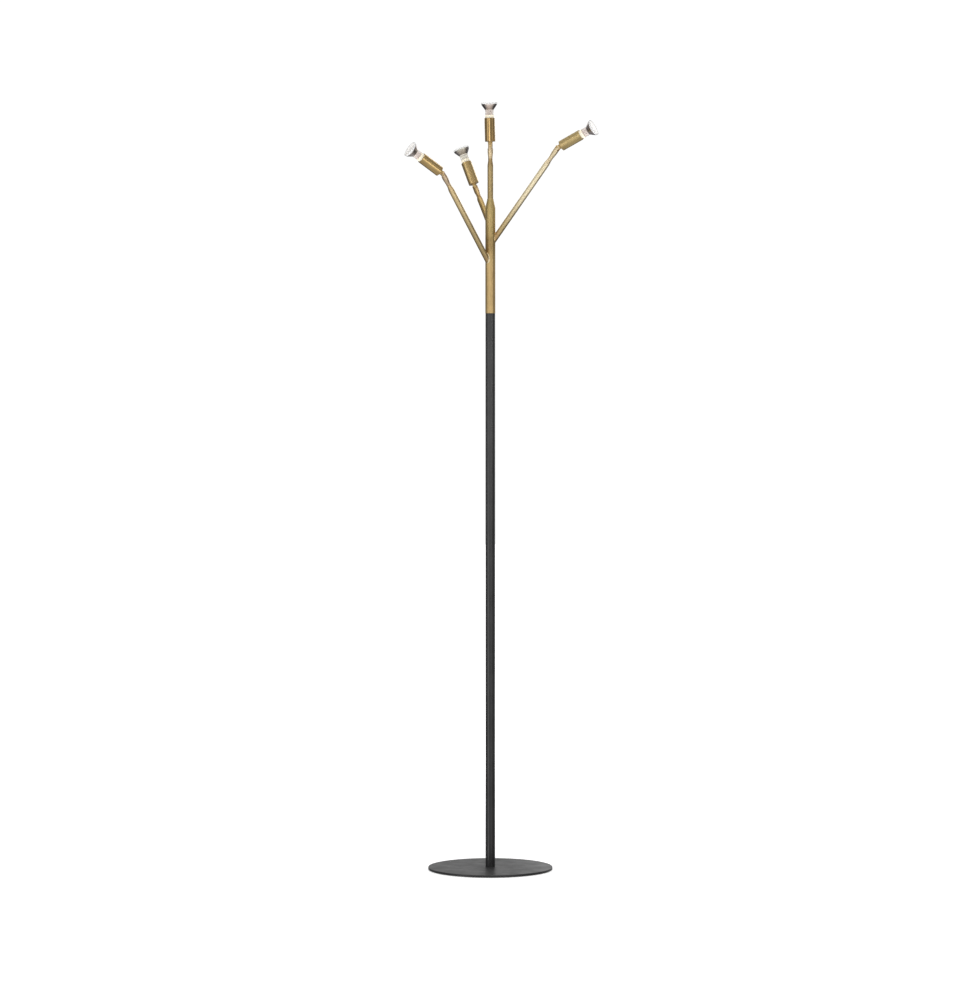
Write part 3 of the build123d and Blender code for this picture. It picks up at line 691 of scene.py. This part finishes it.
    mesh = revolve(f"{side}_capsule_body", m, capsule, 48)
    quartz = glass(f"{side}_quartz", (0.95, 0.95, 0.955), 0.03, m, 0.25, 0.75, 0, 0.5)
    sealed = moulded(f"{side}_sealed_quartz", (0.78, 0.74, 0.72), 0.2, 500.0, 0.00005)
    cap = finish_mesh(f"{side}_capsule_body", mesh, [quartz], body, 50.0)
    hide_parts(f"{side}_lamp_capsule")

    bm = bmesh.new()
    bmesh.ops.create_cube(bm, size=1.0)
    bmesh.ops.subdivide_edges(bm, edges=bm.edges, cuts=3, use_grid_fill=True)
    for v in bm.verts:
        # flat in the middle, thicker along both long edges as a pinch is
        edge = abs(v.co.x) * 2
        thick = 0.72 + 0.28 * edge ** 4
        v.co = m @ Vector((v.co.x * 6.4 * MM, v.co.y * 2.3 * thick * MM, (62.3 + v.co.z * 15.0) * MM))
    mesh = bpy.data.meshes.new(f"{side}_capsule_pinch")
    bm.to_mesh(mesh)
    bm.free()
    pinch = finish_mesh(f"{side}_capsule_pinch", mesh, [sealed], body, 60.0)
    soften = pinch.modifiers.new("soft edges", "BEVEL")
    soften.width, soften.segments = 0.0004, 3

    tungsten = steel(f"{side}_tungsten", (0.30, 0.29, 0.28), m)
    coil = bpy.data.curves.new(f"{side}_coil", "CURVE")
    coil.dimensions = "3D"
    coil.bevel_depth = 0.00009
    coil.bevel_resolution = 2
    turns, steps = 13, 12
    points = [(-1.6, 0.0, 69.9), (-1.6, 0.0, 76.0)]
    for k in range(turns * steps + 1):
        a = 2 * math.pi * k / steps
        points.append((-1.4 + 2.8 * k / (turns * steps), 0.42 * math.sin(a), 76.4 + 0.42 * math.cos(a)))
    points += [(1.6, 0.0, 76.0), (1.6, 0.0, 69.9)]
    spline = coil.splines.new("POLY")
    spline.points.add(len(points) - 1)
    for p, q in zip(spline.points, points):
        p.co = (*(m @ Vector([c * MM for c in q])), 1.0)
    coil.materials.append(tungsten)
    wire = bpy.data.objects.new(f"{side}_coil", coil)
    bpy.context.scene.collection.objects.link(wire)
    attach(wire, body)

# ------------------------------------------------------------------ stage
bpy.ops.mesh.primitive_plane_add(size=24.0, location=(0, 0, 0))
floor = bpy.context.object
floor.name = "floor"
mat, tree, shader = material("floor_white")
where = place(tree)
tree.links.new(mix(tree, noise(tree, where, 2.0, 2.0), (0.86, 0.86, 0.86), (0.89, 0.89, 0.89)), shader.inputs["Base Color"])
shader.inputs["Roughness"].default_value = 0.9
shader.inputs["Specular IOR Level"].default_value = 0.1
shader.inputs["Emission Color"].default_value = (1, 1, 1, 1)
distance = tree.nodes.new("ShaderNodeVectorMath")
distance.operation = "LENGTH"
tree.links.new(where, distance.inputs[0])
# further out it is lit as evenly as the backdrop, so that no horizon shows
tree.links.new(ramp(tree, distance.outputs["Value"], 0.35, 2.2, 0.45, 1.1), shader.inputs["Emission Strength"])
floor.data.materials.append(mat)
floor.visible_glossy = False

world = bpy.data.worlds.new("studio")
bpy.context.scene.world = world
world.use_nodes = True
tree = world.node_tree
tree.nodes.clear()
out = tree.nodes.new("ShaderNodeOutputWorld")
light_path = tree.nodes.new("ShaderNodeLightPath")
backdrop = tree.nodes.new("ShaderNodeBackground")
backdrop.inputs["Color"].default_value = (1, 1, 1, 1)
backdrop.inputs["Strength"].default_value = 1.04
room = tree.nodes.new("ShaderNodeBackground")
coord = tree.nodes.new("ShaderNodeTexCoord")
gx, gy, gz = split(tree, coord.outputs["Generated"])


def lobe(azimuth, elevation, inner, outer, amount):
    """A soft patch of light: azimuth 0 is in front (-Y), positive to the right."""
    a, e = math.radians(azimuth), math.radians(elevation)
    n = tree.nodes.new("ShaderNodeVectorMath")
    n.operation = "DOT_PRODUCT"
    tree.links.new(coord.outputs["Generated"], n.inputs[0])
    n.inputs[1].default_value = (math.sin(a) * math.cos(e), -math.cos(a) * math.cos(e), math.sin(e))
    return ramp(tree, n.outputs["Value"], math.cos(math.radians(outer)), math.cos(math.radians(inner)), 0.0, amount)


level = 0.20
for patch in ((-5, 6, 12, 72, 0.26), (-80, 12, 10, 55, 0.10), (80, 12, 10, 55, 0.03), (150, 10, 8, 60, 0.32),
              (-165, 10, 10, 60, 0.12), (-50, -12, 6, 19, 1.7),
              (30, -20, 5, 17, 0.8)):
    level = math_node(tree, "ADD", level, lobe(*patch))
# it falls off just below the horizon, and the ceiling and the floor are bright
level = math_node(tree, "MULTIPLY", level, ramp(tree, gz, -0.40, 0.02, 0.50, 1.0))
for patch in ((0, 90, 15, 75, 0.30), (0, -90, 12, 60, 0.52), (16, -34, 8, 32, 0.40), (46, -26, 6, 21, 0.55),
              (-24, -31, 6, 23, 0.60)):
    level = math_node(tree, "ADD", level, lobe(*patch))
combine = tree.nodes.new("ShaderNodeCombineColor")
for s in ("Red", "Green", "Blue"):
    tree.links.new(level, combine.inputs[s])
tree.links.new(combine.outputs["Color"], room.inputs["Color"])
room.inputs["Strength"].default_value = 1.0
choose = tree.nodes.new("ShaderNodeMixShader")
tree.links.new(light_path.outputs["Is Camera Ray"], choose.inputs["Fac"])
tree.links.new(room.outputs["Background"], choose.inputs[1])
tree.links.new(backdrop.outputs["Background"], choose.inputs[2])
tree.links.new(choose.outputs["Shader"], out.inputs["Surface"])


def softbox(name, azimuth, elevation, distance, size, power, target=(0, 0, 1.25), colour=(1, 1, 1)):
    """azimuth 0 is in front (-Y), positive to the right."""
    data = bpy.data.lights.new(name, "AREA")
    data.shape = "RECTANGLE"
    data.size, data.size_y = size
    data.energy = power
    data.color = colour
    ob = bpy.data.objects.new(name, data)
    a, e = math.radians(azimuth), math.radians(elevation)
    way = Vector((math.sin(a) * math.cos(e), -math.cos(a) * math.cos(e), math.sin(e)))
    target = Vector(target)
    ob.location = target + way * distance
    ob.rotation_euler = (-way).to_track_quat("-Z", "Y").to_euler()
    ob.visible_camera = False
    bpy.context.scene.collection.objects.link(ob)
    return ob


# a wide low box in front, small ones higher up and to both sides
softbox("front", 5, 0, 2.0, (3.1, 0.62), 4.5, target=(0, 0, 0.93), colour=(1.0, 0.99, 0.97))
softbox("key", -11, 7.6, 3.0, (1.0, 0.8), 5.6, target=(0, 0, 1.5), colour=(1.0, 0.995, 0.985))
softbox("high_left", -50, 22, 2.6, (0.7, 0.9), 0.8, target=(0, 0, 1.45))
softbox("left_mid", -43, 11, 2.6, (0.5, 0.26), 1.25, target=(0, 0, 1.48))
softbox("strip_right", 43, -10, 2.1, (0.32, 0.5), 1.4, target=(0, 0, 1.5))
softbox("fill_left", -66, 0, 3.4, (1.2, 1.2), 3.6, target=(0, 0, 0.9))
softbox("fill_right", 62, 12, 3.4, (1.2, 2.0), 3.4)
softbox("base_glow", 158, 9, 0.95, (0.62, 0.26), 0.35, target=(0.05, 0, 0.03))
softbox("top", 0, 80, 2.6, (2.4, 2.4), 30, target=(0, 0, 0.9))
softbox("back_left", -155, 22, 3.4, (0.9, 1.8), 8)
softbox("back_right", 150, 22, 3.4, (0.9, 1.8), 12)

scene = bpy.context.scene
scene.view_settings.view_transform = "Standard"
scene.view_settings.look = "None"
scene.view_settings.exposure = 0.0
scene.view_settings.gamma = 1.0

# ------------------------------------------------------------------ camera
cam_data = bpy.data.cameras.new("camera")
cam_data.sensor_fit = "HORIZONTAL"
cam_data.sensor_width = 36.0
cam_data.lens = 3903.6 / 980 * 36.0
cam_data.clip_start, cam_data.clip_end = 0.1, 100.0
cam = bpy.data.objects.new("camera", cam_data)
cam.location = (-0.0007, -8.25, 1.1662)
cam.rotation_euler = (math.radians(90 - 2.5032), 0, 0)
scene.collection.objects.link(cam)
scene.camera = cam
